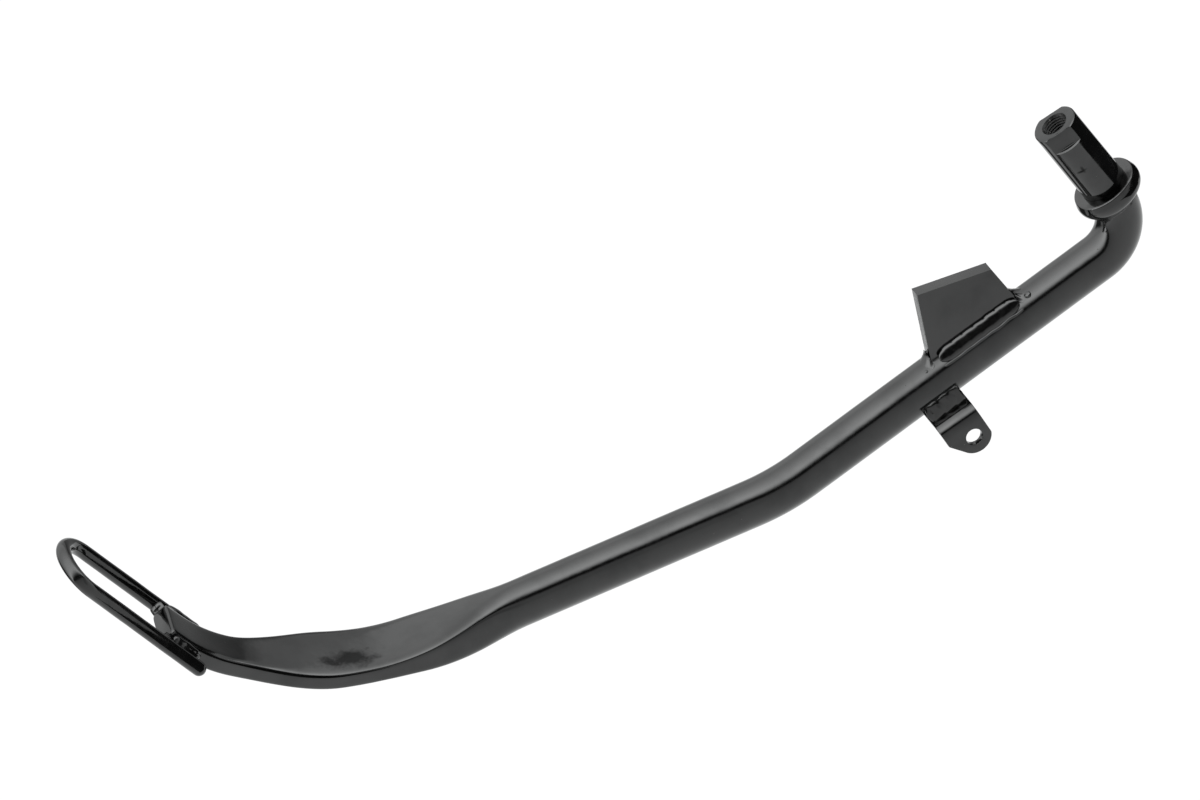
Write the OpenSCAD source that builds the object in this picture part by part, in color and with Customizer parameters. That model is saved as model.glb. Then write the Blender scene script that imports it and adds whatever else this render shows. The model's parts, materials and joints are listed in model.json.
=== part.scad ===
// Welded kickstand for a motorcycle. A round bar bends off a pivot post, runs out
// as the leg and is forged into a twisted flat foot that carries a rod loop.
// Origin: centre of the pivot collar's thrust face. +Z runs up the pivot post,
// the leg runs out along -X and lies in the XZ plane. Millimetres.

/* [Pivot] */
// Diameter of the pivot post
post_d = 19.05; // [18.5:0.05:19.5]
// Length of the post above the thrust face
post_l = 37; // [34:0.5:42]
// Distance across the two wrench flats at the post's free end
post_flats = 15; // [14.5:0.5:16.5]
// Length of the wrench flats
post_flats_l = 8; // [6:0.5:10]
// Turn of the wrench flats about the post, from the leg's plane
post_flats_turn = -11; // [-20:1:0]
// Minor diameter of the thread in the post's end
thread_d = 9.8; // [9.2:0.1:10]
// Depth of the threaded hole
thread_l = 22; // [16:1:26]
// Diameter of the thrust face
collar_face_d = 27.4; // [26.6:0.2:27.8]
// Largest diameter of the collar
collar_d = 29.2; // [28.8:0.2:30.4]
// Height of the collar
collar_h = 8; // [7.5:0.25:9]

/* [Leg] */
// Diameter of the round bar
bar_d = 19.3; // [19:0.1:20]
// Centreline radius of the bend below the collar
bend_r = 18.4; // [17:0.2:20]
// Rise of the upper leg, in degrees from level
leg_rise = 3.7; // [2.5:0.1:5]
// Length of the upper straight
run_upper = 145.5; // [140:0.5:154]
// Kink between the upper and lower straights, in degrees
kink = 15.6; // [12:0.2:20]
// Centreline radius of the kink
kink_r = 90; // [70:5:110]
// Length of the round part of the lower straight
run_lower = 104; // [96:1:110]

/* [Foot] */
// Widest part of the flattened foot
foot_w = 31; // [28:0.5:32]
// Thickness of the flattened foot
foot_t = 8.4; // [7.4:0.2:9]
// Width of the foot's tip, between the loop's rails
tip_w = 18.4; // [17:0.2:18.6]
// Sideways twist of the foot, in degrees
foot_twist = 15; // [10:1:16]
// Rod diameter of the foot loop
rod_d = 6.2; // [5.8:0.1:6.4]
// Spacing of the loop's two rails, centre to centre
loop_w = 26.8; // [26.6:0.2:28]
// Length of the loop's straight rails
rail_l = 60; // [58:1:66]

/* [Stop plate] */
// Thickness of the stop plate
plate_t = 6.35; // [5:0.05:8]
// Leg length of its fillet welds
plate_weld = 3.6; // [3:0.2:4]

/* [Spring bracket] */
// Width of the bracket's strip
strip_w = 17.6; // [16:0.2:19]
// Thickness of the strip
strip_t = 3.2; // [3:0.1:4]
// Diameter of the spring's hole
spring_hole_d = 7; // [6:0.2:8]

/* [Hidden] */

$fn = 96;
bar_r = bar_d / 2;
far = 60;                 // longer than anything a cutter has to clear

// Centreline of the leg: each stretch is [length, heading at start, heading at end].
// Heading 0 runs along -X, 90 runs straight up.
function turn_l(radius, degrees) = radius * degrees * PI / 180;
lower_rise = leg_rise + kink;
foot_curve_r = 174;       // gentle curve of the foot
foot_curve_end = 52;      // heading where the gentle curve tightens
tip_curve_r = 75;         // tighter curve up to the tip
tip_rise = 76;            // heading of the tip
round_path = [
    [turn_l(bend_r, 90 + leg_rise), -90, leg_rise],
    [run_upper, leg_rise, leg_rise],
    [turn_l(kink_r, kink), leg_rise, lower_rise],
    [run_lower, lower_rise, lower_rise]];
foot_path = [
    [20, lower_rise, lower_rise],
    [turn_l(foot_curve_r, foot_curve_end - lower_rise), lower_rise, foot_curve_end],
    [turn_l(tip_curve_r, tip_rise - foot_curve_end), foot_curve_end, tip_rise],
    [10, tip_rise, tip_rise]];
bend_start = [-1, -collar_h];  // the bar sits 1 mm off the post's axis

function path_l(path, i = 0) = i == len(path) ? 0 : path[i][0] + path_l(path, i + 1);
function heading(stretch, s) = stretch[1] + (stretch[2] - stretch[1]) * s / stretch[0];
// Point [X, Z] reached from p after a distance s along one stretch
function advance(p, stretch, s) = stretch[1] == stretch[2]
    ? p + s * [-cos(stretch[1]), sin(stretch[1])]
    : let (h = heading(stretch, s), r = stretch[0] * 180 / PI / (stretch[2] - stretch[1]))
        p + r * [sin(stretch[1]) - sin(h), cos(stretch[1]) - cos(h)];
// [X, Z, heading] at a distance s along a path that starts at p
function along(path, s, p, i = 0) = i == len(path) - 1 || s <= path[i][0]
    ? concat(advance(p, path[i], s), [heading(path[i], s)])
    : along(path, s - path[i][0], advance(p, path[i], path[i][0]), i + 1);
function xz(v) = [v[0], v[1]];

foot_start = xz(along(round_path, path_l(round_path), bend_start));
upper_start = xz(along(round_path, round_path[0][0], bend_start));
foot_l = path_l(foot_path);

// Moves children to a leg point, with local -X along the leg
module at_leg(p, rise) {
    translate([p[0], 0, p[1]]) rotate([0, rise, 0]) children();
}

// One stretch of round bar, drawn from the local origin along -X and curving up
module bar_stretch(length, turn, d) {
    if (turn == 0) rotate([0, -90, 0]) cylinder(h = length, d = d);
    else {
        r = length * 180 / PI / turn;
        translate([0, 0, r]) rotate([90, 0, 0]) rotate([0, 0, 270 - turn])
            rotate_extrude(angle = turn) translate([r, 0]) circle(d = d);
    }
}

// Superellipse section of the bar, round along the leg and flat at the foot.
// s is the distance from the start of the foot.
sides = 36;
flatten_l = 46;           // over this length the round bar spreads
thin_l = 66;              // over this length it becomes thin
neck_in = 80;             // distance where the foot starts to narrow
neck_l = 46;              // over this length it narrows to its tip's width
function ease(x) = x <= 0 ? 0 : x >= 1 ? 1 : x * x * (3 - 2 * x);
function blend(a, b, x) = a + (b - a) * ease(x);
function foot_width(s) = s < neck_in
    ? blend(bar_d, foot_w, s / flatten_l)
    : blend(foot_w, tip_w, (s - neck_in) / neck_l);
function foot_thickness(s) = blend(bar_d, foot_t, s / thin_l);
function foot_squareness(s) = blend(2, 6, s / flatten_l);
function foot_turn(s) = foot_twist * ease((s - 25) / 90);
function power(v, e) = sign(v) * pow(abs(v), e);
function section(w, t, n) = [for (i = [0 : sides - 1])
    let (a = (i + 0.5) * 360 / sides)
    [w / 2 * power(cos(a), 2 / n), t / 2 * power(sin(a), 2 / n)]];
// A section point [across, up] turned by the twist and set at a path point
function placed(v, p, turn) =
    let (across = v[0] * cos(turn) - v[1] * sin(turn), up = v[0] * sin(turn) + v[1] * cos(turn))
    [p[0] + up * sin(p[2]), across, p[1] + up * cos(p[2])];
function round_ring(s) = [for (v = section(bar_d, bar_d, 2))
    placed(v, along(round_path, s, bend_start), 0)];
function foot_ring(s, shrink = 1) = let (p = along(foot_path, s, foot_start))
    [for (v = section(foot_width(s) * shrink, foot_thickness(s) * shrink, foot_squareness(s)))
        placed(v, p, foot_turn(s))];

// Distances of the rings: curves get one every few degrees, straights only their ends
function stations(path, step, i = 0, s = 0) = i == len(path) ? [s]
    : let (n = path[i][1] == path[i][2] ? 1 : ceil(abs(path[i][2] - path[i][1]) / step))
        concat([for (k = [0 : n - 1]) s + path[i][0] * k / n],
            stations(path, step, i + 1, s + path[i][0]));

// Skin through a list of equal rings, closed by flat caps
module skin(rings) {
    n = len(rings[0]);
    last = len(rings) - 1;
    walls = [for (k = [0 : last - 1], i = [0 : n - 1], half = [0, 1])
        let (a = k * n + i, b = k * n + (i + 1) % n)
        half == 0 ? [a, b, b + n] : [a, b + n, a + n]];
    caps = [[for (i = [n - 1 : -1 : 0]) i], [for (i = [0 : n - 1]) last * n + i]];
    polyhedron([for (r = rings, v = r) v], concat(walls, caps), convexity = 6);
}
foot_step = 3;            // distance between the foot's rings
foot_rings = [for (s = [0 : foot_step : foot_l - foot_step / 2]) foot_ring(s)];
tip_rings = [foot_ring(foot_l - 1.2), foot_ring(foot_l - 0.4, 0.93), foot_ring(foot_l, 0.8)];
// The last stretch alone, for cutting the loop's weld beads to it
module foot_end() {
    end_l = 45;
    skin(concat([for (s = [foot_l - end_l : foot_step : foot_l - foot_step / 2]) foot_ring(s)], tip_rings));
}

module leg_bar() {
    bend_step = 5;        // degrees between the rings of a bend
    round_s = stations(round_path, bend_step);
    color("dimgray") skin(concat(
        [for (i = [0 : len(round_s) - 2]) round_ring(round_s[i])], foot_rings, tip_rings));
}

// Turned post with two wrench flats and a threaded hole in its free end
post_chamfer = 0.8;
spigot_d = 17;            // the post's lower end, inside the collar
thread_mouth_d = 11.4;
module pivot_post() {
    color("dimgray") difference() {
        rotate_extrude() polygon([
            [0, -collar_h], [spigot_d / 2, -collar_h], [spigot_d / 2, 0], [post_d / 2, 0],
            [post_d / 2, post_l - post_chamfer],
            [post_d / 2 - post_chamfer, post_l], [0, post_l]]);
        for (side = [-1, 1]) rotate([0, 0, post_flats_turn])
            translate([-far / 2, side > 0 ? post_flats / 2 : -post_flats / 2 - far, post_l - post_flats_l])
                cube([far, far, far]);
        translate([0, 0, post_l - thread_l]) cylinder(h = far, d = thread_d);
        translate([0, 0, post_l]) rotate_extrude() polygon([
            [0, -(thread_mouth_d - thread_d) / 2 - 0.1], [thread_d / 2 - 0.1, -(thread_mouth_d - thread_d) / 2 - 0.1],
            [thread_mouth_d / 2, 0], [thread_mouth_d / 2, 1], [0, 1]]);
    }
}

// Ring with a flat thrust face and a barrel-shaped side, narrower at its foot
collar_foot_r = 12.4;
collar_mouth_r = post_d / 2 + 0.075;  // chamfered bore under the post's shoulder
module pivot_collar() {
    side_r = collar_d / 2 - collar_foot_r;
    side_h = collar_h / 2 - 0.6;
    color("dimgray") rotate_extrude() polygon(concat(
        [[spigot_d / 2, -collar_h], [spigot_d / 2, spigot_d / 2 - collar_mouth_r],
            [collar_mouth_r, 0], [collar_face_d / 2, 0]],
        [for (a = [35 : -15 : -85])
            [collar_foot_r + side_r * cos(a), -collar_h / 2 + side_h * sin(a)]],
        [[collar_foot_r, -collar_h]]));
}

// Bead round the bar under the collar
module collar_weld() {
    bead = 2.4;
    color("gray") difference() {
        translate([0, 0, -collar_h - bead]) cylinder(h = bead, r1 = bar_r - 0.2, r2 = collar_foot_r);
        at_leg(bend_start, -90) bar_stretch(round_path[0][0], 90 + leg_rise, bar_d);
    }
}

// Local frame on the upper straight: local +X is up the leg towards the pivot,
// +Z is square to the bar, and the origin is on the bar's axis
module on_upper_run(from_bend) {
    at_leg(upper_start, leg_rise) translate([-from_bend, 0, 0]) children();
}
module upper_bar() {
    on_upper_run(0) translate([1, 0, 0]) bar_stretch(run_upper, 0, bar_d);
}

// Stop plate: a trapezoid that stands on top of the bar in the leg's plane
plate_at = 36;          // from the bend to the plate's end nearest the pivot
plate_base = 42.4;          // length of the plate along the bar
plate_h_front = 18.3;     // height at the end nearest the pivot
plate_h_back = 29.4;      // height at the highest corner
plate_top_back = 32;      // from the front edge to the highest corner
module stop_plate() {
    color("dimgray") difference() {
        on_upper_run(plate_at) rotate([90, 0, 0]) translate([0, 0, -plate_t / 2])
            linear_extrude(plate_t) polygon([
                [0, bar_r - 1.5], [-plate_base, bar_r - 1.5], [-plate_base, bar_r],
                [-plate_top_back, bar_r + plate_h_back], [-1.75, bar_r + plate_h_front]]);
        upper_bar();
    }
}

// Fillet section against a wall at x = 0: reaches down past the bar's surface
fillet_drop = 3.4;
module fillet_section(leg) {
    polygon([[0, bar_r - fillet_drop], [0, bar_r + leg], [leg * 0.55, bar_r + leg * 0.36],
        [leg, bar_r - fillet_drop * 0.86], [leg, bar_r - fillet_drop]]);
}
module side_fillet(side) {
    color("gray") difference() {
        on_upper_run(plate_at) mirror([0, side > 0 ? 0 : 1, 0]) translate([-plate_base, plate_t / 2, 0])
            rotate([90, 0, 90]) linear_extrude(plate_base) fillet_section(plate_weld);
        upper_bar();
    }
}
module stop_plate_weld_near() side_fillet(-1);
module stop_plate_weld_far() side_fillet(1);

// Fillet that wraps round one end of the plate from side to side
module end_fillet(from_bend, flip) {
    color("gray") difference() {
        on_upper_run(from_bend) mirror([flip, 0, 0]) {
            rotate([90, 0, 0]) translate([0, 0, -plate_t / 2])
                linear_extrude(plate_t) fillet_section(plate_weld);
            for (side = [0, 1]) mirror([0, side, 0]) translate([0, plate_t / 2, 0])
                rotate_extrude(angle = 90) fillet_section(plate_weld);
        }
        upper_bar();
        stop_plate();
    }
}
module stop_plate_weld_front() end_fillet(plate_at, 0);
module stop_plate_weld_back() end_fillet(plate_at + plate_base, 1);

// Spring bracket: a strip under the bar, bent down beside it, with the spring's hole
strip_at = 75.4;          // from the bend to the strip's edge nearest the pivot
strip_in = 6;             // how far the strip reaches past the bar's axis
strip_out = 19.7;         // from the bar's axis to the bent flange's outer face
bracket_bend_r = 6;       // outer radius of the strip's bend
hole_drop = 11.6;         // from the strip's top to the hole
hole_in = 6.9;            // from the strip's edge nearest the pivot to the hole
lobe_r = 7.4;             // rounded end about the hole
corner_up = 3;            // from the hole's centre up to the flange's square corner
flange_corner = [hole_in - strip_w, corner_up];
// Direction from the hole to where the edge from the corner meets the rounded end
tangent_a = atan2(flange_corner[1], flange_corner[0]) + acos(lobe_r / norm(flange_corner));
module strip_profile() {
    top = -bar_r;
    translate([-strip_in, top - strip_t]) square([strip_in + strip_out - bracket_bend_r, strip_t]);
    translate([strip_out - strip_t, top - far]) square([strip_t, far - bracket_bend_r]);
    translate([strip_out - bracket_bend_r, top - bracket_bend_r]) difference() {
        circle(r = bracket_bend_r);
        circle(r = bracket_bend_r - strip_t);
        translate([-far, -far / 2]) square([far, far]);
        translate([-far / 2, -far]) square([far, far]);
    }
}
module spring_bracket() {
    low = -bar_r - hole_drop;
    color("dimgray") on_upper_run(strip_at) difference() {
        translate([-strip_w, 0, 0]) rotate([90, 0, 90]) mirror([1, 0, 0])
            linear_extrude(strip_w) strip_profile();
        // below its square corner the flange keeps only its rounded outline
        rotate([90, 0, 0]) translate([-hole_in, low, strip_in]) linear_extrude(far) difference() {
            translate([-far / 2, corner_up - 2 * far]) square([far, 2 * far]);
            circle(r = lobe_r);
            polygon([flange_corner, lobe_r * [cos(tangent_a), sin(tangent_a)], [0, 0],
                [lobe_r, 0], [lobe_r, corner_up], [0, corner_up + 1]]);
        }
        translate([-hole_in, 0, low]) rotate([90, 0, 0]) cylinder(h = far, d = spring_hole_d);
    }
}

// Bead in the crevice between the bar and the strip, on one side of the bar
module crevice_fillet(side, reach) {
    bead_end = 0.8;       // the bead stops short of the strip's edges
    color("gray") difference() {
        on_upper_run(strip_at) mirror([0, side > 0 ? 0 : 1, 0])
            translate([bead_end - strip_w, 0, -bar_r]) rotate([90, 0, 90])
            linear_extrude(strip_w - 2 * bead_end)
                polygon([[0, 0], [reach, 0], [reach - 0.7, 1.6], [reach - 1.5, bar_r / 2], [0, bar_r / 2]]);
        upper_bar();
    }
}
module spring_bracket_weld_near() crevice_fillet(-1, 9.4);
module spring_bracket_weld_far() crevice_fillet(1, 5.9);

// Loop frame: origin at the centre of the loop's round end, rails down local -Z,
// near rail on local -Y
loop_at = [-412.3, 4.5, 163];
loop_lean = 14.3;         // from upright towards -X
loop_twist = 15.2;        // about the rails
loop_skew = 5.5;          // sideways, towards +Y
module in_loop() {
    translate(loop_at) rotate([0, -loop_lean, 0]) rotate([0, 0, -loop_twist])
        rotate([-loop_skew, 0, 0]) children();
}
module rail(side) {
    translate([0, side * loop_w / 2, -rail_l]) {
        cylinder(h = rail_l, d = rod_d);
        sphere(d = rod_d);
    }
}
module foot_loop() {
    color("dimgray") in_loop() {
        for (side = [-1, 1]) rail(side);
        rotate([90, 0, 90]) rotate_extrude(angle = 180) translate([loop_w / 2, 0]) circle(d = rod_d);
    }
}

// Beads that join one rail to the foot, on its top and bottom faces
bead_d = 4.4;
bead_l = 10;
bead_up = 2.6;            // from the foot's middle plane to the bead's axis
module rail_beads(side) {
    color("gray") difference() {
        in_loop() for (face = [-1, 1])
            translate([face * bead_up, side * (loop_w / 2 - 3), -rail_l + 5]) {
                cylinder(h = bead_l, d = bead_d);
                sphere(d = bead_d);
                translate([0, 0, bead_l]) sphere(d = bead_d);
            }
        in_loop() rail(side);
        foot_end();
    }
}
module loop_weld_near() rail_beads(-1);
module loop_weld_far() rail_beads(1);

// Bead across the foot's tip, from rail to rail
tip_bead_at = -43.3;      // along the rails, from the centre of the loop's round end
module loop_weld_tip() {
    color("gray") difference() {
        in_loop() translate([0, 0, tip_bead_at]) rotate([90, 0, 0])
            cylinder(h = loop_w, d = foot_t - 1, center = true);
        in_loop() for (side = [-1, 1]) rail(side);
        in_loop() for (side = [-1, 1]) translate([-far / 2, side * (loop_w / 2 + far / 2) - far / 2, -far])
            cube([far, far, far]);
        foot_end();
    }
}

pivot_post();
pivot_collar();
collar_weld();
leg_bar();
stop_plate();
stop_plate_weld_near();
stop_plate_weld_far();
stop_plate_weld_front();
stop_plate_weld_back();
spring_bracket();
spring_bracket_weld_near();
spring_bracket_weld_far();
foot_loop();
loop_weld_near();
loop_weld_far();
loop_weld_tip();
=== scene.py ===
"""Looks of a gloss black motorcycle kickstand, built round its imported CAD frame."""

import json
import math

import bpy
import bmesh
from mathutils import Matrix, Vector, noise


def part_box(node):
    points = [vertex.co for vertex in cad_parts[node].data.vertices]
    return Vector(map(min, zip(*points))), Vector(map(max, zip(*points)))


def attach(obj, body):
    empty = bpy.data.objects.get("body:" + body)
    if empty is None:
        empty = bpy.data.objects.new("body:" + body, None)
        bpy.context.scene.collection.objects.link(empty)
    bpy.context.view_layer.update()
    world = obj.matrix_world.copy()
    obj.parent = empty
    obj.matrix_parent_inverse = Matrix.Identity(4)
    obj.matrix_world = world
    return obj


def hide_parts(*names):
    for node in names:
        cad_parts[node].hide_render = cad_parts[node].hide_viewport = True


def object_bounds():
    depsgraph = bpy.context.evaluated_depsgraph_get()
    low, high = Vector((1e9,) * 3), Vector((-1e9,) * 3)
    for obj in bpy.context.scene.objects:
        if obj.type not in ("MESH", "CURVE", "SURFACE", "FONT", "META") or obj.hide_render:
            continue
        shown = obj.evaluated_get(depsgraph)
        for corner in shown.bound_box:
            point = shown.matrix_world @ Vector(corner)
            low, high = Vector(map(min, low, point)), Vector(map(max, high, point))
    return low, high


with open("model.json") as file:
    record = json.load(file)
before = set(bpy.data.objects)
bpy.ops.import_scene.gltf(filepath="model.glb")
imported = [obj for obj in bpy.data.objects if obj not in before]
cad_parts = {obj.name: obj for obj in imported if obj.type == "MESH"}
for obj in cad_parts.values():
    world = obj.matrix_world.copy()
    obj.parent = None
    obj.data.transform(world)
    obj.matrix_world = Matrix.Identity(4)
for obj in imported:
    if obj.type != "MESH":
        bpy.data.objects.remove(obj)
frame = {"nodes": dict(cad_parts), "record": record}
cad_low, cad_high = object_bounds()
MM = 0.001

# ---------------------------------------------------------------- driving sizes, millimetres
MOUNTS = {m["name"]: m for m in frame["record"]["mounts"]}
POST_R = MOUNTS["pivot_post"]["dims"]["r_mm"]
POST_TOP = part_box("pivot_post")[1].z / MM
THREAD_R = MOUNTS["post_thread"]["dims"]["r_mm"]
COLLAR_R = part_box("pivot_collar")[1].x / MM
COLLAR_H = -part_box("pivot_collar")[0].z / MM
BAR_R = 9.65
FLATS = 15.0                # across the wrench flats
FLATS_TURN = -11.0          # degrees about the post
MOUTH_R = 5.6               # countersunk mouth of the threaded hole
PLATE_T = 6.35
ROD_R = 3.1
LOOP_HALF = 13.4            # from the loop's middle to a rail's axis

# The leg's headings, in degrees above level, and the radii and lengths of its centreline
LEG_RISE, KINK = 3.7, 15.6
LOWER_RISE = LEG_RISE + KINK
FOOT_RISE, TIP_RISE = 52.0, 76.0
BEND_R, KINK_R, FOOT_BEND_R, TIP_BEND_R = 18.4, 90.0, 174.0, 75.0
UPPER_L, LOWER_L, FOOT_L, TIP_L = 145.5, 104.0, 20.0, 10.0
LEG_START = (-1.0, -COLLAR_H)

# The forged foot: widths, thickness, twist, and where each change starts and how far it runs
FOOT_W, FOOT_T, TIP_W, FOOT_TWIST = 31.0, 8.4, 18.4, 15.0
FLARE_L, THIN_L = 46.0, 66.0
TAPER_FROM, TAPER_L = 80.0, 46.0
TWIST_FROM, TWIST_L = 25.0, 90.0
FOOT_SQUARENESS = 6


def turn_length(radius, degrees):
    return radius * math.radians(degrees)


# Each stretch is (length, heading at its start, heading at its end)
ROUND_PATH = [
    (turn_length(BEND_R, 90 + LEG_RISE), -90.0, LEG_RISE),
    (UPPER_L, LEG_RISE, LEG_RISE),
    (turn_length(KINK_R, KINK), LEG_RISE, LOWER_RISE),
    (LOWER_L, LOWER_RISE, LOWER_RISE),
]
FOOT_PATH = [
    (FOOT_L, LOWER_RISE, LOWER_RISE),
    (turn_length(FOOT_BEND_R, FOOT_RISE - LEG_RISE - KINK), LOWER_RISE, FOOT_RISE),
    (turn_length(TIP_BEND_R, TIP_RISE - FOOT_RISE), FOOT_RISE, TIP_RISE),
    (TIP_L, TIP_RISE, TIP_RISE),
]
LEG_PATH = ROUND_PATH + FOOT_PATH
ROUND_LENGTH = sum(stretch[0] for stretch in ROUND_PATH)
LEG_LENGTH = sum(stretch[0] for stretch in LEG_PATH)


def leg_point(s):
    """X, Z and heading in degrees at a distance s along the leg's centreline."""
    x, z = LEG_START
    for length, h0, h1 in LEG_PATH:
        d = min(s, length) if (length, h0, h1) != LEG_PATH[-1] else s
        h = h0 + (h1 - h0) * d / length
        a0, a1 = math.radians(h0), math.radians(h)
        if h0 == h1:
            x, z = x - d * math.cos(a0), z + d * math.sin(a0)
        else:
            r = length / math.radians(h1 - h0)
            x, z = x + r * (math.sin(a0) - math.sin(a1)), z + r * (math.cos(a0) - math.cos(a1))
        s -= d
        if s <= 1e-9:
            break
    return x, z, h


def ease(x):
    x = min(max(x, 0.0), 1.0)
    return x * x * (3 - 2 * x)


def blend(a, b, x):
    return a + (b - a) * ease(x)


def lerp(a, b, x):
    return a + (b - a) * x


# ---------------------------------------------------------------- mesh helpers
def place(name, mesh):
    """New object in the scene for a mesh."""
    obj = bpy.data.objects.new(name, mesh)
    bpy.context.scene.collection.objects.link(obj)
    return obj


def make_object(name, verts, faces, material, sharp):
    """Smooth-shaded mesh from millimetre points; edges over the sharp angle stay crisp."""
    mesh = bpy.data.meshes.new(name)
    mesh.from_pydata([Vector(v) * MM for v in verts], [], faces)
    mesh.validate()
    bm = bmesh.new()
    bm.from_mesh(mesh)
    bmesh.ops.remove_doubles(bm, verts=bm.verts, dist=2e-6)
    bmesh.ops.recalc_face_normals(bm, faces=bm.faces)
    bm.to_mesh(mesh)
    bm.free()
    mesh.shade_smooth()
    mesh.set_sharp_from_angle(angle=math.radians(sharp))
    mesh.materials.append(material)
    return place(name, mesh)


def skin(rings, closed=False, caps=True):
    """Faces through equal rings of points; closed joins the last ring to the first."""
    n = len(rings[0])
    verts = [v for ring in rings for v in ring]
    faces = []
    last = len(rings) if closed else len(rings) - 1
    for k in range(last):
        a, b = k * n, ((k + 1) % len(rings)) * n
        faces += [(a + i, a + (i + 1) % n, b + (i + 1) % n, b + i) for i in range(n)]
    if caps and not closed:
        faces += [tuple(range(n))[::-1], tuple(range((len(rings) - 1) * n, len(rings) * n))]
    return verts, faces


def revolve(profile, steps):
    """Rings round Z through a closed profile of (radius, z) points."""
    rings = []
    for k in range(steps):
        a = 2 * math.pi * k / steps
        rings.append([(r * math.cos(a), r * math.sin(a), z) for r, z in profile])
    return skin(rings, closed=True)


# ---------------------------------------------------------------- local frames
def leg_matrix(s):
    """Matrix at a leg point: local -X runs down the leg, local Z is square to it."""
    x, z, h = leg_point(s)
    return Matrix.Translation((x, 0, z)) @ Matrix.Rotation(math.radians(h), 4, "Y")


UPPER = leg_matrix(ROUND_PATH[0][0])       # start of the upper straight
# The foot loop: its origin is the centre of its round end, local Z runs up its rails
LOOP = (
    Matrix.Translation((-412.3, 4.5, 163))
    @ Matrix.Rotation(math.radians(-14.3), 4, "Y")
    @ Matrix.Rotation(math.radians(-15.2), 4, "Z")
    @ Matrix.Rotation(math.radians(-5.5), 4, "X")
)
RAIL_L = 60.0               # straight length of a rail


def moved(matrix, verts):
    return [matrix @ Vector(v) for v in verts]


# ---------------------------------------------------------------- node helpers
class Nodes:
    """Short way to write a shader tree."""

    def __init__(self, tree):
        self.tree = tree
        tree.nodes.clear()

    def add(self, kind, **props):
        node = self.tree.nodes.new(kind)
        for key, value in props.items():
            setattr(node, key, value)
        return node

    def link(self, out, into):
        self.tree.links.new(out, into)

    def put(self, value, socket):
        """A plain value is set, a node's output is linked."""
        if isinstance(value, bpy.types.NodeSocket):
            self.link(value, socket)
        else:
            socket.default_value = value

    def math(self, operation, a, b=0.0, clamp=False):
        node = self.add("ShaderNodeMath", operation=operation, use_clamp=clamp)
        self.put(a, node.inputs[0])
        self.put(b, node.inputs[1])
        return node.outputs[0]

    def step(self, value, low, high, out_low=0.0, out_high=1.0):
        """Smooth step from out_low at low to out_high at high."""
        node = self.add("ShaderNodeMapRange", interpolation_type="SMOOTHSTEP")
        self.put(value, node.inputs["Value"])
        limits = {"From Min": low, "From Max": high, "To Min": out_low, "To Max": out_high}
        for name, number in limits.items():
            self.put(number, node.inputs[name])
        return node.outputs[0]

    def vector_math(self, operation, a, b):
        node = self.add("ShaderNodeVectorMath", operation=operation)
        self.link(a, node.inputs[0])
        node.inputs[1].default_value = b
        return node.outputs[0]

    def noise(self, vector, size_mm, detail=2.0, roughness=0.5, shift=0.0):
        """Noise value whose features are about size_mm wide."""
        node = self.add("ShaderNodeTexNoise")
        self.link(self.vector_math("ADD", vector, (shift, shift * 0.7, -shift)), node.inputs["Vector"])
        node.inputs["Scale"].default_value = 1000.0 / size_mm
        node.inputs["Detail"].default_value = detail
        node.inputs["Roughness"].default_value = roughness
        return node.outputs["Fac"]

    def mix(self, factor, a, b):
        node = self.add("ShaderNodeMix", data_type="RGBA")
        self.put(factor, node.inputs[0])
        for value, socket in ((a, node.inputs[6]), (b, node.inputs[7])):
            self.put((*value, 1.0) if isinstance(value, tuple) else value, socket)
        return node.outputs[2]

    def blend(self, factor, a, b):
        node = self.add("ShaderNodeMix", data_type="FLOAT")
        self.put(factor, node.inputs[0])
        self.put(a, node.inputs[2])
        self.put(b, node.inputs[3])
        return node.outputs[0]

    def bump(self, height, strength, distance_mm, under=None):
        """Bump of a height on top of an earlier bump's normal."""
        node = self.add("ShaderNodeBump")
        node.inputs["Strength"].default_value = strength
        node.inputs["Distance"].default_value = distance_mm * MM
        self.link(height, node.inputs["Height"])
        if under:
            self.link(under, node.inputs["Normal"])
        return node.outputs[0]

    def surface(self, shader):
        self.link(shader.outputs[0], self.add("ShaderNodeOutputMaterial").inputs["Surface"])


def new_material(name):
    """Material with an empty shader tree to fill."""
    material = bpy.data.materials.new(name)
    material.use_nodes = True
    return material, Nodes(material.node_tree)


def grey(value, warm=0.0):
    """Grey colour, warmer or cooler by a share of its value."""
    return (value * (1 + warm), value, value * (1 - warm))


def dust_specks(n, coord):
    """A few round specks, one in some cells of a 3 mm pattern."""
    cells = n.add("ShaderNodeTexVoronoi", feature="F1")
    n.link(coord, cells.inputs["Vector"])
    cells.inputs["Scale"].default_value = 330.0
    sparse = n.add("ShaderNodeSeparateColor")
    n.link(cells.outputs["Color"], sparse.inputs[0])
    return n.math(
        "MULTIPLY",
        n.step(cells.outputs["Distance"], 0.05, 0.09, 1.0, 0.0),
        n.step(sparse.outputs[0], 0.90, 0.92),
    )


def in_thread(n, coord):
    """Mask that is 1 near the post's axis, where its paint meets the bare thread."""
    split = n.add("ShaderNodeSeparateXYZ")
    n.link(coord, split.inputs[0])
    x, y = split.outputs[0], split.outputs[1]
    reach = n.math("SQRT", n.math("ADD", n.math("MULTIPLY", x, x), n.math("MULTIPLY", y, y)))
    return n.step(reach, MOUTH_R * MM, (MOUTH_R + 0.2) * MM, 1.0, 0.0)


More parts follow.
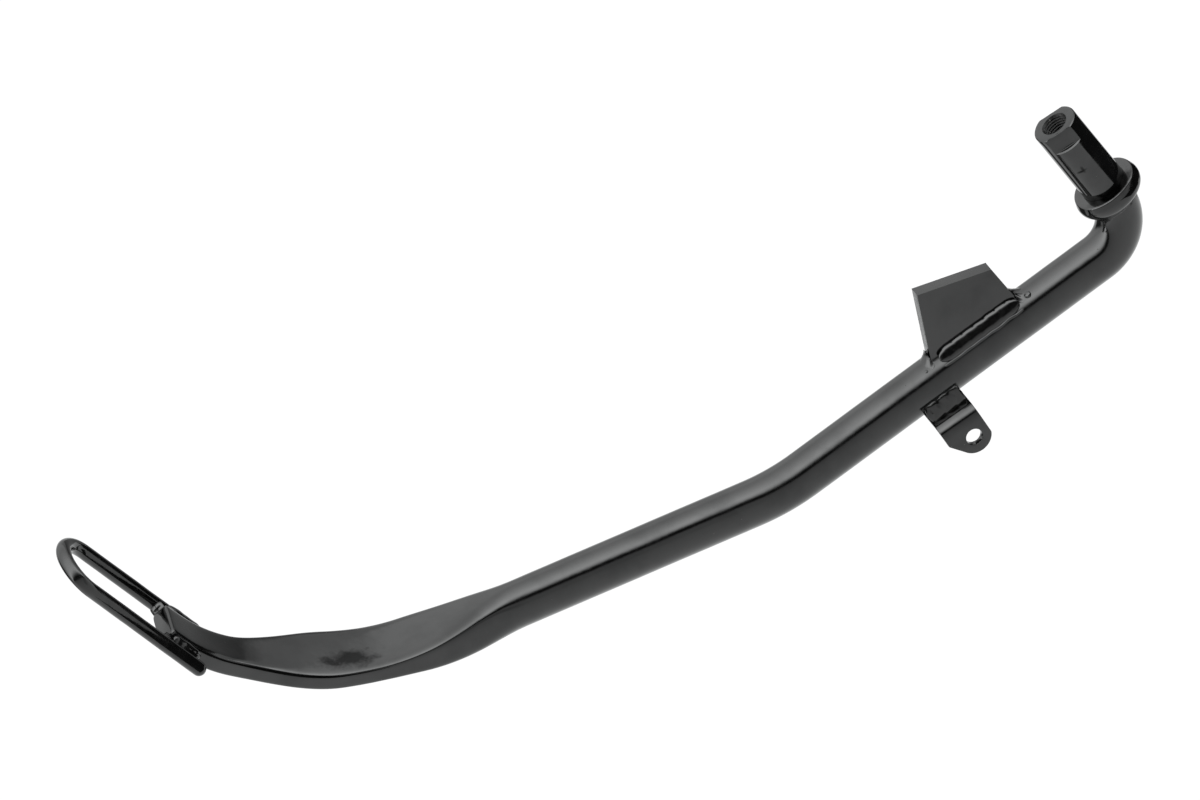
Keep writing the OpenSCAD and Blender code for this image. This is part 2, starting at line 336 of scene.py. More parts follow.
def dull_smear(n, coord, centre, half, seed):
    """Ragged dull patch about a centre, with half sizes, in millimetres."""
    offset = n.vector_math("SUBTRACT", coord, [c * MM for c in centre])
    reach = n.add("ShaderNodeVectorMath", operation="LENGTH")
    n.link(n.vector_math("MULTIPLY", offset, [1 / (h * MM) for h in half]), reach.inputs[0])
    uneven = n.math("MULTIPLY", n.noise(coord, 5, 4, 0.6, seed), 1.1)
    return n.step(n.math("ADD", reach.outputs["Value"], uneven), 0.9, 1.5, 0.85, 0.0)


def paint(name, seed, gloss=0.06, peel=0.25, wave=0.25, grime=0.25, bare_thread=False, marks=()):
    """Gloss black paint on steel: orange peel, dust specks, dull patches and thin, rubbed edges.
    Each mark is a dull smear: (centre, half sizes), in millimetres."""
    material, n = new_material(name)
    coord = n.add("ShaderNodeTexCoord").outputs["Object"]
    geometry = n.add("ShaderNodeNewGeometry")
    shader = n.add("ShaderNodeBsdfPrincipled")
    n.surface(shader)

    patch = n.step(n.noise(coord, 22, 4, 0.6, seed), 0.42, 0.68)
    film = n.step(n.noise(coord, 3.5, 3, 0.6, seed + 1), 0.35, 0.75)
    speck = dust_specks(n, coord)
    worn = n.math("ADD", geometry.outputs["Pointiness"], n.math("MULTIPLY", film, 0.02))
    edge = n.step(worn, 0.535, 0.60)

    colour = n.mix(patch, grey(0.0036), grey(0.0058, -0.04))
    colour = n.mix(n.math("MULTIPLY", film, grime), colour, grey(0.009, 0.03))
    colour = n.mix(n.math("MULTIPLY", edge, 0.5), colour, grey(0.02, 0.02))
    colour = n.mix(n.math("MULTIPLY", speck, 0.8), colour, grey(0.07, 0.05))
    rough = n.math("ADD", gloss, n.math("MULTIPLY", patch, 0.06))
    rough = n.math("ADD", rough, n.math("MULTIPLY", film, 0.05 + 0.1 * grime))
    rough = n.math("ADD", rough, n.math("MULTIPLY", n.math("MAXIMUM", edge, speck), 0.18))
    smear = n.math("MULTIPLY", patch, 0.18)
    if bare_thread:
        inside = in_thread(n, coord)
        chips = n.step(n.noise(coord, 1.3, 4, 0.7, seed + 4), 0.55, 0.72)
        steel = n.math("MULTIPLY", inside, chips)
        colour = n.mix(steel, colour, grey(0.12, 0.04))
        n.link(n.math("MULTIPLY", steel, 0.7), shader.inputs["Metallic"])
        rough = n.blend(inside, rough, 0.42)
        smear = n.math("MAXIMUM", smear, n.math("MULTIPLY", inside, 0.6))
    for centre, half in marks:
        smear = n.math("MAXIMUM", smear, dull_smear(n, coord, centre, half, seed + 5))
    n.link(colour, shader.inputs["Base Color"])
    n.link(rough, shader.inputs["Roughness"])
    shader.inputs["IOR"].default_value = 1.52
    shine = n.math("MULTIPLY", n.math("SUBTRACT", 1.0, smear), 0.5)
    n.link(shine, shader.inputs["Specular IOR Level"])

    swell = n.bump(n.noise(coord, 9, 2, 0.5, seed + 2), wave, 0.4)
    orange_peel = n.bump(n.noise(coord, 1.1, 2, 0.5, seed + 3), peel, 0.04, swell)
    n.link(n.bump(speck, 0.6, 0.1, orange_peel), shader.inputs["Normal"])
    return material


POST_PAINT = paint(
    "post_black", 1.0, gloss=0.04, peel=0.15, wave=0.08, grime=0.15, bare_thread=True,
    marks=[((-2.6, -8, 16.6), (3.6, 3, 0.9)), ((-2.6, -8, 17.2), (1.2, 3, 3.0))],
)
COLLAR_PAINT = paint(
    "collar_black", 2.0, gloss=0.05, peel=0.2, wave=0.15, grime=0.2,
    marks=[((2.5, -7, 0), (15, 9, 0.6))],
)
LEG_PAINT = paint("leg_black", 3.0, marks=[((-350, -7, 60.0), (24, 8, 14))])
PLATE_PAINT = paint("plate_black", 4.0, peel=0.2, wave=0.1)
LOOP_PAINT = paint("loop_black", 5.0)
WELD_PAINT = paint("weld_black", 6.0, peel=0.35, wave=0.35, grime=0.4)


def stand_for(obj, node):
    """The piece rides on the one body and stands in for its CAD node, which is hidden."""
    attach(obj, "root")
    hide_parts(node)


# ---------------------------------------------------------------- leg: round bar forged into the foot
def superellipse(w, t, squareness, sides):
    """Outline of a bar w wide and t thick: round at squareness 2, nearly square at 6."""
    ring = []
    for i in range(sides):
        a = 2 * math.pi * (i + 0.5) / sides
        c, s = math.cos(a), math.sin(a)
        ring.append((
            w / 2 * math.copysign(abs(c) ** (2 / squareness), c),
            t / 2 * math.copysign(abs(s) ** (2 / squareness), s),
        ))
    return ring


def leg_ring(s, shrink=1.0, sides=112):
    """Section of the leg at a distance s along it."""
    x, z, h = leg_point(s)
    f = s - ROUND_LENGTH
    width = blend(2 * BAR_R, FOOT_W, f / FLARE_L)
    if f >= TAPER_FROM:
        width = blend(FOOT_W, TIP_W, (f - TAPER_FROM) / TAPER_L)
    thick = blend(2 * BAR_R, FOOT_T, f / THIN_L)
    turn = math.radians(FOOT_TWIST * ease((f - TWIST_FROM) / TWIST_L))
    a = math.radians(h)
    ring = []
    squareness = blend(2, FOOT_SQUARENESS, f / FLARE_L)
    for v in superellipse(width * shrink, thick * shrink, squareness, sides):
        across = v[0] * math.cos(turn) - v[1] * math.sin(turn)
        up = v[0] * math.sin(turn) + v[1] * math.cos(turn)
        p = Vector((x + up * math.sin(a), across, z + up * math.cos(a)))
        # hammer and rolling unevenness, stronger on the forged foot
        out = (p - Vector((x, 0, z))).normalized()
        size = 0.03 + 0.13 * ease(f / 60)
        ring.append(p + out * size * (noise.noise(p / 16) - 0.25))
    return ring


STRAIGHT_GAP, BEND_GAP = 4.0, 1.2          # between rings of the leg


def leg_stations():
    """Distances along the leg of its rings."""
    stations, start = [], 0.0
    for length, h0, h1 in LEG_PATH:
        gap = STRAIGHT_GAP if h0 == h1 else BEND_GAP
        count = math.ceil(length / gap)
        stations += [start + length * k / count for k in range(count)]
        start += length
    return stations


# The foot's end is rounded: (distance from the end, scale of the section)
TIP_ROUND = ((1.2, 1.0), (0.7, 0.98), (0.3, 0.93), (0.0, 0.84))
leg_rings = [leg_ring(s) for s in leg_stations() if s < LEG_LENGTH - 1.3]
leg_rings += [leg_ring(LEG_LENGTH - d, shrink) for d, shrink in TIP_ROUND]
leg = make_object("leg_bar_forged", *skin(leg_rings), LEG_PAINT, sharp=60)
stand_for(leg, "leg_bar")

# ---------------------------------------------------------------- pivot post with flats and thread
FLATS_L, CHAMFER = 8.0, 0.8                 # length of the flats, chamfer at the end
SPIGOT_R, SPIGOT_END, SHOULDER = 8.5, -7.6, -0.2
THREADS_PER_INCH = 20
PITCH = 25.4 / THREADS_PER_INCH
THREAD_CUT = 0.68                           # from the thread's crest to its root
THREAD_TOP = POST_TOP - 1.0
THREAD_END = POST_TOP - 21.0
DRILL_POINT = 2.4
ROWS_PER_TURN = 9
CORNER_POWER = 220.0                        # higher is a sharper corner beside a flat
WIDE_STEP, FINE_STEP = 2.5, 0.16            # degrees between columns, and beside a corner


def post_radius(a):
    """Outline of the post's wrench end, with softly broken corners."""
    flat = FLATS / 2 / max(abs(math.sin(a - math.radians(FLATS_TURN))), 1e-3)
    k = min(POST_R, flat)
    parts = (POST_R / k) ** -CORNER_POWER + (flat / k) ** -CORNER_POWER
    return k * parts ** (-1 / CORNER_POWER)


def post_angles():
    """Angles of the post's columns, closer together at the flats' corners."""
    half = math.asin(FLATS / 2 / POST_R)
    corners = [math.radians(FLATS_TURN) + c for c in (half, math.pi - half, math.pi + half, -half)]
    angles = [math.radians(WIDE_STEP * i) for i in range(round(360 / WIDE_STEP))]
    angles += [c + math.radians(FINE_STEP * i) for c in corners for i in range(-9, 10)]
    return sorted(a % (2 * math.pi) for a in angles)


def thread_depth(z, a):
    """Depth of the helical groove below the bore, faded out at both ends."""
    turn = (z / PITCH - a / (2 * math.pi)) % 1.0
    groove = max(0.0, 1 - abs(2 * turn - 1) * 1.15)
    fade = ease((THREAD_TOP + 0.4 - z) / 0.5) * ease((z - THREAD_END) / 2)
    return THREAD_CUT * min(groove, 0.86) * fade


def post_column(a):
    """Closed section of the post in the half plane at angle a, as (radius, z)."""
    f = post_radius(a)
    cut = POST_R - f
    ledge = POST_TOP - FLATS_L
    soft = 0.6 * min(1.0, cut)                 # broken outer edge of the ledge
    column = [(SPIGOT_R, SPIGOT_END), (SPIGOT_R, SHOULDER), (POST_R, 0.0)]
    column += [(POST_R, z) for z in (6.0, 12.0, 18.0, 24.0)]
    column += [
        (POST_R, ledge - 0.7 * soft),
        (POST_R - 0.5 * soft, ledge - 0.35 * soft),
        (POST_R - soft, ledge),
    ]
    root = min(0.3, cut / 2)                   # fillet where the flat meets the ledge
    for t in (0.0, 0.5, 1.05, math.pi / 2):
        column.append((f + root - root * math.sin(t), ledge + root - root * math.cos(t)))
    top = min(f - 0.45, POST_R - CHAMFER)
    fall = max(f - top, 0.45)
    column += [(f, ledge + 2.5), (f, ledge + 5.0), (f, POST_TOP - fall)]
    column += [
        (lerp(f, top, 0.12), POST_TOP - fall * 0.55),
        (lerp(f, top, 0.55), POST_TOP - fall * 0.12),
        (top, POST_TOP),
    ]
    column += [(7.2, POST_TOP), (MOUTH_R + 0.25, POST_TOP), (MOUTH_R, POST_TOP - 0.12)]
    column.append((THREAD_R + 0.1, THREAD_TOP + 0.05))
    rows = int((THREAD_TOP - THREAD_END) / PITCH * ROWS_PER_TURN)
    for k in range(rows + 1):
        z = lerp(THREAD_TOP, THREAD_END, k / rows)
        column.append((THREAD_R + thread_depth(z, a), z))
    column.append((0.02, THREAD_END - DRILL_POINT))
    return column


columns = []
for angle in post_angles():
    columns.append([(r * math.cos(angle), r * math.sin(angle), z) for r, z in post_column(angle)])
verts, faces = skin(columns, closed=True, caps=False)
rows = len(columns[0])
faces = [f for f in faces if f[0] % rows != rows - 1]      # the two ends of a column aren't joined
post = make_object("pivot_post_turned", verts, faces, POST_PAINT, sharp=24)
bm = bmesh.new()
bm.from_mesh(post.data)
bmesh.ops.holes_fill(bm, edges=[e for e in bm.edges if e.is_boundary], sides=0)
bmesh.ops.recalc_face_normals(bm, faces=bm.faces)
bm.to_mesh(post.data)
bm.free()
stand_for(post, "pivot_post")

# ---------------------------------------------------------------- pivot collar
COLLAR_FACE_R, COLLAR_FOOT_R, COLLAR_BORE_R = 13.7, 12.4, 8.55
side_r, side_h = COLLAR_R - COLLAR_FOOT_R, COLLAR_H / 2 - 0.6
collar_profile = [(COLLAR_BORE_R, -COLLAR_H + 0.1), (COLLAR_BORE_R, -1.1)]
collar_profile += [(POST_R + 0.07, -0.02), (POST_R + 0.3, 0.0)]
collar_profile += [(11.5, 0.0), (COLLAR_FACE_R - 0.7, 0.0)]
collar_profile += [
    (COLLAR_FACE_R + dr, z) for dr, z in ((-0.62, -0.01), (-0.12, -0.36), (0.08, -0.75))
]
for degrees in range(35, -86, -5):
    a = math.radians(degrees)
    collar_profile.append((COLLAR_FOOT_R + side_r * math.cos(a), -COLLAR_H / 2 + side_h * math.sin(a)))
collar_profile.append((COLLAR_FOOT_R, -COLLAR_H + 0.1))
collar = make_object("pivot_collar_turned", *revolve(collar_profile, 200), COLLAR_PAINT, sharp=28)
stand_for(collar, "pivot_collar")


# ---------------------------------------------------------------- weld beads
BEAD_STEPS = 12                             # across the bead, from toe to toe
BARE_TAPER = 0.004                          # keeps the end rings of a bead open


def bead_rings(
    stations, crown, depth=1.5, pitch=1.5, ripple=0.13, cap=2.4, closed=False, seed=0.0, flat=2.1
):
    """Rings of a rippled bead. A station is (toe on one part, toe on the other, outward direction).
    The bead rises by crown over its toes, sinks by depth under them and rounds off over cap."""
    middles = [(Vector(a) + Vector(b)) / 2 for a, b, _ in stations]
    runs = [0.0]
    for p, q in zip(middles, middles[1:]):
        runs.append(runs[-1] + (q - p).length)
    rings = []
    for (a, b, out), mid, run in zip(stations, middles, runs):
        half, out = (Vector(b) - Vector(a)) / 2, Vector(out).normalized()
        if closed:
            taper = 1.0
        else:
            inset = min(run, runs[-1] - run) / cap
            taper = math.sqrt(max(1 - (1 - min(inset, 1.0)) ** 2, BARE_TAPER))
        swell = 1 + 0.16 * noise.noise(Vector((run / 5 + seed, seed, 0)))
        ring = []
        for j in range(BEAD_STEPS + 1):
            c = 2 * j / BEAD_STEPS - 1
            wave = abs(math.sin(math.pi * (run / pitch + 0.45 * (1 - c * c)))) ** 0.8
            height = crown * swell * (1 - abs(c) ** flat) ** 0.7 * taper
            height += ripple * taper * (wave - 0.5) * (1 - c ** 4)
            ring.append(mid + half * c * taper * swell + out * height)
        for c in (0.8, 0.0, -0.8):
            ring.append(mid + half * c * taper * 0.9 - out * depth * max(taper, 0.3))
        rings.append(ring)
    return rings


def blob(centre, out, radius, flatness, seed):
    """Rings of a small lumpy drop that sits on a surface."""
    out = Vector(out).normalized()
    side = out.orthogonal().normalized()
    other = out.cross(side)
    rings = []
    for k in range(1, 9):
        polar = math.pi * k / 9
        ring = []
        for i in range(18):
            a = 2 * math.pi * i / 18
            d = Vector((math.sin(polar) * math.cos(a), math.sin(polar) * math.sin(a), math.cos(polar)))
            r = radius * (1 + 0.16 * noise.noise(d * 1.7 + Vector((seed, 0, 0))))
            ring.append(Vector(centre) + r * (side * d.x + other * d.y + out * d.z * flatness))
        rings.append(ring)
    return rings


def weld(name, node, groups, closed=False):
    """One object from several bead or blob ring lists, in place of a CAD node."""
    verts, faces = [], []
    for rings in groups:
        v, f = skin(rings, closed=closed)
        faces += [tuple(i + len(verts) for i in face) for face in f]
        verts += v
    stand_for(make_object(name, verts, faces, WELD_PAINT, sharp=35), node)


def on_bar(y):
    """Height of the bar's surface above its axis at y from the middle plane."""
    return math.sqrt(BAR_R ** 2 - y * y)


def local_stations(matrix, rows):
    """Stations of a bead from rows in a local frame."""
    turn = matrix.to_3x3()
    return [(matrix @ Vector(a), matrix @ Vector(b), turn @ Vector(out)) for a, b, out in rows]


# The plate's frame: its front end is the origin, and its foot runs along -X
PLATE = UPPER @ Matrix.Translation((-36.0, 0, 0))
PLATE_BASE = 42.4
PLATE_LEG, BAR_LEG = 2.6, 4.0               # how far the bead reaches up the plate and out on the bar


def plate_side_bead(side, from_x, to_x, seed):
    """Rings of the long bead on one side of the plate, and of the thin run at its toe."""
    rows = []
    count = int((from_x - to_x) / 0.25)
    for k in range(count + 1):
        x = lerp(from_x, to_x, k / count)
        sway = 0.5 * noise.noise(Vector((x / 5, seed, 0)))
        foot_y = PLATE_T / 2 + BAR_LEG + sway
        a = (x, side * (PLATE_T / 2 - 0.1), on_bar(PLATE_T / 2) + PLATE_LEG + sway)
        b = (x, side * foot_y, on_bar(foot_y) - 0.15)
        rows.append((a, b, (0, side * 0.72, 0.69)))
    bead = bead_rings(
        local_stations(PLATE, rows),
        crown=1.25, depth=1.2, pitch=5.3, ripple=0.05, cap=5.0, seed=seed, flat=5.0,
    )
    toe = [
        ((x, y - side * 0.5, z + 0.3), (x, y + side * 0.8, z - 0.5), (0, side * 0.5, 0.86))
        for x, y, z in (b for a, b, out in rows)
    ]
    run = bead_rings(
        local_stations(PLATE, toe), crown=0.6, depth=0.8, pitch=7.1, ripple=0.08, seed=seed + 1
    )
    return [bead, run]


def spatter(x, y, out, radius, seed):
    """Drop of weld metal on the bar, placed in the plate's frame."""
    return blob(PLATE @ Vector((x, -y, on_bar(y))), out, radius, 0.6, seed)


big_drop = spatter(4.4, 4.4, PLATE.to_3x3() @ Vector((0, -0.45, 0.89)), 1.5, 2.0)
small_drop = spatter(-46.5, 5.2, (0, -0.5, 0.85), 0.7, 3.0)
near_beads = plate_side_bead(-1, -0.2, -PLATE_BASE + 3.0, 1.0)
weld("plate_bead_near", "stop_plate_weld_near", [*near_beads, big_drop, small_drop])
weld("plate_bead_far", "stop_plate_weld_far", plate_side_bead(1, -0.5, -PLATE_BASE + 1.5, 5.0))


def plate_end_bead(x_end, direction, seed):
    """Fillet that wraps round one end of the plate; direction is the sign of local x away from it."""
    rows = []
    for k in range(61):
        a = math.radians(lerp(-92, 92, k / 60))
        c, s = math.cos(a), math.sin(a)
        inner = Vector((x_end + direction * (0.2 * c - 0.3), (PLATE_T / 2 - 0.5) * s, 0))
        reach = 4.2 + 0.5 * noise.noise(Vector((a * 2, seed, 0)))
        foot = Vector((x_end + direction * reach * c, (PLATE_T / 2 + reach * 0.75) * s, 0))
        top = on_bar(inner.y) + 3.2
        rows.append((
            (inner.x, inner.y, top),
            (foot.x, foot.y, on_bar(foot.y) - 0.12),
            (direction * c, s, 1.0),
        ))
    return bead_rings(
        local_stations(PLATE, rows), crown=-0.35, depth=1.4, ripple=0.04, cap=1.6, seed=seed
    )


weld("plate_bead_front", "stop_plate_weld_front", [plate_end_bead(0.0, 1, 7.0)])
weld("plate_bead_back", "stop_plate_weld_back", [plate_end_bead(-PLATE_BASE, -1, 9.0)])

# The bracket's frame: its edge nearer the post is the origin, and its width runs along -X
STRIP = UPPER @ Matrix.Translation((-75.4, 0, 0))
STRIP_W = 17.6


def crevice_bead(side, seed, toe_bar, toe_strip, crown):
    """Rings of the bead between the bar and the bracket, with its toes at these distances."""
    rows = []
    for k in range(65):
        x = lerp(-0.2, -STRIP_W + 0.2, k / 64)
        sway = 0.3 * noise.noise(Vector((x / 3, seed, 0)))
        y = toe_bar + sway
        a = (x, side * y, -on_bar(y) + 0.1)
        b = (x, side * (toe_strip + sway), -BAR_R - 0.1)
        rows.append((a, b, (0, side * 0.9, 0.35)))
    return bead_rings(
        local_stations(STRIP, rows),
        crown=crown, depth=1.6, pitch=5.6, ripple=0.3, cap=1.6, seed=seed,
    )


weld("bracket_bead_near", "spring_bracket_weld_near", [crevice_bead(-1, 11.0, 9.2, 11.9, 0.5)])
weld("bracket_bead_far", "spring_bracket_weld_far", [crevice_bead(1, 13.0, 5.4, 5.9, 0.5)])


def collar_bead(count=180):
    """Rings of the bead round the bar under the collar, heavier on the inside of the bend."""
    rows = []
    for k in range(count):
        a = 2 * math.pi * k / count
        c, s = math.cos(a), math.sin(a)
        lump = noise.noise(Vector((2 * c, 2 * s, 4)))
        inside = math.exp(-((math.degrees(a) - 215) / 28) ** 2)
        drop = 2.4 + 0.4 * lump + 1.8 * inside
        shift = BEND_R - math.sqrt(BEND_R ** 2 - drop ** 2)
        toe, foot = COLLAR_FOOT_R - 0.2, BAR_R - 0.05
        rows.append((
            (toe * c, toe * s, -COLLAR_H + 0.2),
            (LEG_START[0] - shift + foot * c, foot * s, -COLLAR_H - drop),
            (c, s, -0.35),
        ))
    return bead_rings(rows, crown=-0.25, depth=1.3, pitch=1.7, ripple=0.05, closed=True, seed=15.0)


weld("collar_bead", "collar_weld", [collar_bead()], closed=True)


# ---------------------------------------------------------------- plate and bracket with broken edges
def broken_edges(name, node, material, radius):
    """Copy of a CAD node with merged facets and small rounded edges."""
    bm = bmesh.new()
    bm.from_mesh(frame["nodes"][node].data)
    bmesh.ops.remove_doubles(bm, verts=bm.verts, dist=2e-6)
    bmesh.ops.dissolve_limit(bm, angle_limit=math.radians(0.6), verts=bm.verts, edges=bm.edges)
    mesh = bpy.data.meshes.new(name)
    bm.to_mesh(mesh)
    bm.free()
    mesh.shade_smooth()
    mesh.materials.clear()
    mesh.materials.append(material)
    obj = place(name, mesh)
    bevel = obj.modifiers.new("broken_edges", "BEVEL")
    bevel.width, bevel.segments = radius * MM, 4
    bevel.limit_method, bevel.angle_limit = "ANGLE", math.radians(24)
    bevel.harden_normals = True
    stand_for(obj, node)


broken_edges("stop_plate_cut", "stop_plate", PLATE_PAINT, 1.2)
broken_edges("spring_bracket_bent", "spring_bracket", PLATE_PAINT, 0.35)

# ---------------------------------------------------------------- foot loop
LOOP_SIDES, RAIL_STEPS, ARC_STEPS, END_STEPS = 56, 30, 72, 9


def tube_ring(centre, along, across, radius):
    """Ring of the rod, slightly uneven."""
    along, across = Vector(along).normalized(), Vector(across).normalized()
    third = along.cross(across)
    ring = []
    for i in range(LOOP_SIDES):
        a = 2 * math.pi * i / LOOP_SIDES
        p = Vector(centre) + radius * (across * math.cos(a) + third * math.sin(a))
        ring.append(p + (p - Vector(centre)).normalized() * 0.05 * (noise.noise(p / 7) - 0.4))
    return ring


def loop_path():
    """Local points and headings of the rod: up the near rail, round, and down the far one."""
    up, down = (0, 0, 1), (0, 0, -1)
    ends = []                                  # rounded cut end of a rail: depth and radius
    for k in range(1, END_STEPS):
        a = math.radians(90 * k / END_STEPS)
        ends.append((-RAIL_L - ROD_R * math.cos(a), ROD_R * math.sin(a)))
    points = [((0, -LOOP_HALF, z), up, radius) for z, radius in ends]
    for k in range(RAIL_STEPS):
        points.append(((0, -LOOP_HALF, -RAIL_L * (1 - k / RAIL_STEPS)), up, ROD_R))
    for k in range(ARC_STEPS + 1):
        a = math.pi * k / ARC_STEPS
        centre = (0, -LOOP_HALF * math.cos(a), LOOP_HALF * math.sin(a))
        points.append((centre, (0, math.sin(a), math.cos(a)), ROD_R))
    for k in range(1, RAIL_STEPS + 1):
        points.append(((0, LOOP_HALF, -RAIL_L * k / RAIL_STEPS), down, ROD_R))
    return points + [((0, LOOP_HALF, z), down, radius) for z, radius in reversed(ends)]


loop_rings = [moved(LOOP, tube_ring(c, d, (1, 0, 0), r)) for c, d, r in loop_path()]
foot_loop = make_object("foot_loop_rod", *skin(loop_rings), LOOP_PAINT, sharp=60)
stand_for(foot_loop, "foot_loop")


# Beads between a rail and the foot: (height on the rail, distance in from the rail's axis there,
# distance in from the axis on the foot, crown)
NEAR_BEAD = (2.6, 1.2, 5.4, 1.3)
FAR_BEAD = (1.5, 2.3, 4.9, 0.4)
FAR_LUMP = (3.2, -0.4, 4.9, 1.3)            # the heavy bead over the far rail's end
BEAD_TOP, NEAR_BEAD_LOW, FAR_BEAD_LOW = -43.5, -58.5, -61.5


def rail_bead(side, face, shape, z_low, seed):
    """Bead in the corner between one rail and one face of the foot."""
    on_rail, outer, inner, crown = shape
    rows = []
    for k in range(61):
        z = lerp(z_low, BEAD_TOP, k / 60)
        sway = 0.3 * noise.noise(Vector((z / 3, seed, 0)))
        a = (face * on_rail, side * (LOOP_HALF - outer + sway), z)
        b = (face * (FOOT_T / 2 - 0.5), side * (LOOP_HALF - inner + sway), z)
        rows.append((a, b, (face, side * -0.15, 0)))
    return bead_rings(
        local_stations(LOOP, rows),
        crown=crown, depth=1.6, pitch=6.2, ripple=0.06, cap=3.4, seed=seed,
    )


weld(
    "loop_bead_near",
    "loop_weld_near",
    [rail_bead(-1, face, NEAR_BEAD, NEAR_BEAD_LOW, 17.0 + face) for face in (-1, 1)],
)
weld(
    "loop_bead_far",
    "loop_weld_far",
    [
        rail_bead(1, face, shape, FAR_BEAD_LOW, 23.0 + face)
        for face, shape in ((-1, FAR_BEAD), (1, FAR_LUMP))
    ],
)

TIP_REACH = LOOP_HALF - 1.2
TIP_HOLLOW, HOLLOW_POWER = 6.5, 1.8         # how far the tip bead climbs the rails, and how sharply


def tip_bead():
    """Bead across the foot's tip; its free side is a hollow curve from rail to rail."""
    rows = []
    for k in range(97):
        y = lerp(-TIP_REACH, TIP_REACH, k / 96)
        reach = abs(y) / TIP_REACH
        lift = TIP_HOLLOW * reach ** HOLLOW_POWER
        slope = TIP_HOLLOW * HOLLOW_POWER * reach ** (HOLLOW_POWER - 1) / TIP_REACH
        sway = 0.25 * noise.noise(Vector((y / 3, 31.0, 0)))
        z = -45.6 + lift + sway
        thick = 3.4 - 0.9 * (abs(y) / LOOP_HALF) ** 3
        rows.append(((thick, y, z), (-thick, y, z), (0, -math.copysign(slope, y), 1.0)))
    return bead_rings(
        local_stations(LOOP, rows), crown=1.9, depth=2.2, pitch=2.6, ripple=0.3, cap=1.0, seed=33.0
    )


weld("loop_bead_tip", "loop_weld_tip", [tip_bead()])

# ---------------------------------------------------------------- stage, light and camera
# Floor and cards in metres, as the frame is
FLOOR_DROP, FLOOR_HALF = 0.12, 8


def stage_piece(name, verts, faces, material):
    """Plain sheet of the studio, in metres, which isn't part of the object."""
    mesh = bpy.data.meshes.new(name)
    mesh.from_pydata(verts, [], faces)
    mesh.materials.append(material)
    sheet = place(name, mesh)
    return sheet


floor_white, n = new_material("floor_white")
shader = n.add("ShaderNodeBsdfPrincipled")
shader.inputs["Base Color"].default_value = (0.8, 0.8, 0.8, 1)
shader.inputs["Roughness"].default_value = 0.9
shader.inputs["Specular IOR Level"].default_value = 0.0
shader.inputs["Emission Color"].default_value = (1, 1, 1, 1)
shader.inputs["Emission Strength"].default_value = 0.87
n.surface(shader)
floor_z = cad_low.z - FLOOR_DROP
corners = [(x * FLOOR_HALF, y * FLOOR_HALF, floor_z) for x, y in ((-1, -1), (1, -1), (1, 1), (-1, 1))]
floor = stage_piece("floor", corners, [(0, 1, 2, 3)], floor_white)
floor.visible_glossy = False

card_black, n = new_material("card_black")
felt = n.add("ShaderNodeEmission")
felt.inputs["Strength"].default_value = 0.01
n.surface(felt)


def black_card(name, centre, radius, turns, heights, pointed):
    """Curved black card round a vertical line, seen only in the paint. It runs between two turns,
    in degrees from -Y, and two heights; over a share of its length it grows from its top edge."""
    steps = 16
    low, top = heights
    verts = []
    for k in range(steps + 1):
        a = math.radians(lerp(*turns, k / steps))
        foot = lerp(top - 0.01, low, ease(k / (steps * pointed)))
        x, y = centre[0] + radius * math.sin(a), centre[1] - radius * math.cos(a)
        verts += [(x, y, foot), (x, y, top)]
    faces = [(2 * k, 2 * k + 1, 2 * k + 3, 2 * k + 2) for k in range(steps)]
    card = stage_piece(name, verts, faces, card_black)
    card.visible_camera = card.visible_diffuse = card.visible_shadow = False


black_card("post_card", (0.0, 0.0), 0.3, (7, 102), (-0.255, 0.012), 0.5)
black_card("post_card_right", (0.0, 0.0), 0.302, (90, 152), (-0.212, 0.012), 0.1)
black_card("loop_card", (-0.415, -0.01), 0.09, (-28, 66), (0.045, 0.11), 0.1)

# The studio, as the light that arrives from each direction: a pale sweep below and in front, a dark
# gap above the camera, a long soft box overhead that fades to the back, dark walls at the right and
# left rear, and a dimmer patch above the right one. It is seen in the paint, and the camera and the
# dull light see plain white and grey instead.
world = bpy.data.worlds.new("studio")
world.use_nodes = True
bpy.context.scene.world = world
n = Nodes(world.node_tree)
direction = n.add("ShaderNodeSeparateXYZ")
n.link(n.add("ShaderNodeTexCoord").outputs["Generated"], direction.inputs[0])
dx, dy, dz = direction.outputs
climb = n.math("ARCTAN2", dz, n.math("MULTIPLY", dy, -1.0))
around = n.add("ShaderNodeMapRange")
n.link(climb, around.inputs["Value"])
around.inputs["From Min"].default_value = -math.pi
around.inputs["From Max"].default_value = math.pi
TOP_LIGHT = 6.0
# (degrees round the leg's line from the front, upwards positive; strength of the light)
SWEEP = [
    (-180, 0.8), (-150, 1.0), (-110, 1.3), (-60, 1.35), (-30, 1.3), (0, 1.12),
    (20, 0.95), (31, 0.75), (36, 0.1), (43, 0.03), (47, 0.3), (51, 1.3), (56, 3.2), (62, 4.8),
    (70, 5.4), (84, 4.6), (100, 3.5), (118, 2.5), (134, 1.85), (150, 1.6), (165, 1.1), (178, 0.7),
]
ramp = n.add("ShaderNodeValToRGB")
n.link(around.outputs[0], ramp.inputs[0])
while len(ramp.color_ramp.elements) < len(SWEEP):
    ramp.color_ramp.elements.new(0.5)
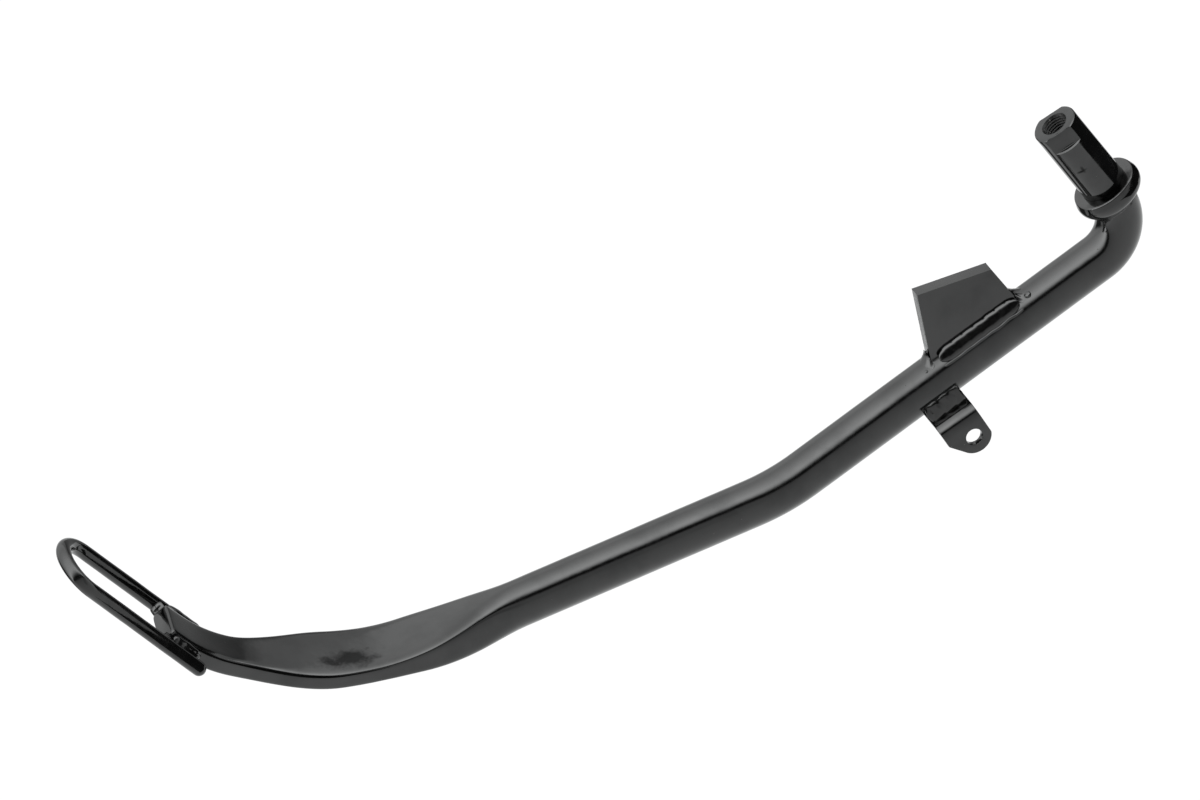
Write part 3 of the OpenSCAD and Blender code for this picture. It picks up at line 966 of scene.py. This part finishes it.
# Twice, because an element that moves past another changes the order
for _ in range(2):
    for element, (degrees, level) in zip(ramp.color_ramp.elements, SWEEP):
        element.position = (degrees + 180) / 360
        element.color = (level / TOP_LIGHT,) * 3 + (1,)
sweep = n.math("MULTIPLY", ramp.outputs[0], TOP_LIGHT)
upright = n.math("MULTIPLY", n.step(dz, -0.68, -0.62), n.step(dz, 0.0, 0.25, 1.0, 0.0))
back = n.step(dy, 0.36, 0.46)
right = n.math("MULTIPLY", n.step(dx, 0.4, 0.5, 0.0, 0.65), back)
left = n.math("MULTIPLY", n.step(dx, -0.6, -0.5, 0.92, 0.0), back)
dark = n.math("MULTIPLY", n.math("MAXIMUM", right, left), upright)
high_right = n.math("MULTIPLY", n.step(dx, 0.18, 0.5, 0.0, 0.3), n.step(dz, 0.1, 0.2))
high_right = n.math("MULTIPLY", high_right, n.step(dz, 0.3, 0.36, 1.0, 0.0))
dark = n.math("MAXIMUM", dark, high_right)
level = n.math("MULTIPLY", sweep, n.math("SUBTRACT", 1.0, dark))
rays = n.add("ShaderNodeLightPath")
mirror_light = n.add("ShaderNodeBackground")
n.link(level, mirror_light.inputs["Strength"])
mirror_light.inputs["Color"].default_value = (0.985, 1.0, 1.0, 1)
soft_light = n.add("ShaderNodeBackground")
soft_light.inputs["Strength"].default_value = 0.28
white = n.add("ShaderNodeBackground")
white.inputs["Strength"].default_value = 1.0
first = n.add("ShaderNodeMixShader")
n.link(rays.outputs["Is Glossy Ray"], first.inputs[0])
n.link(soft_light.outputs[0], first.inputs[1])
n.link(mirror_light.outputs[0], first.inputs[2])
second = n.add("ShaderNodeMixShader")
n.link(rays.outputs["Is Camera Ray"], second.inputs[0])
n.link(first.outputs[0], second.inputs[1])
n.link(white.outputs[0], second.inputs[2])
n.link(second.outputs[0], n.add("ShaderNodeOutputWorld").inputs["Surface"])
bpy.context.scene.view_settings.view_transform = "Standard"
bpy.context.scene.view_settings.look = "None"

# Camera 34 degrees above the leg's side, rolled so that the leg climbs to the right
LOOK_AT = Vector((-0.2105, 0.0, 0.073))
CAMERA_RISE, CAMERA_ROLL = 34.0, -39.4
VIEW_WIDTH, CAMERA_AWAY = 0.48, 2.0
camera_data = bpy.data.cameras.new("camera")
camera_data.type = "ORTHO"
camera_data.ortho_scale = VIEW_WIDTH
camera_data.clip_start, camera_data.clip_end = 0.01, 20.0
camera = bpy.data.objects.new("camera", camera_data)
rise = Matrix.Rotation(math.radians(90 - CAMERA_RISE), 4, "X")
roll = Matrix.Rotation(math.radians(CAMERA_ROLL), 4, "Z")
away = Matrix.Translation((0, 0, CAMERA_AWAY))
camera.matrix_world = Matrix.Translation(LOOK_AT) @ rise @ roll @ away
bpy.context.scene.collection.objects.link(camera)
bpy.context.scene.camera = camera
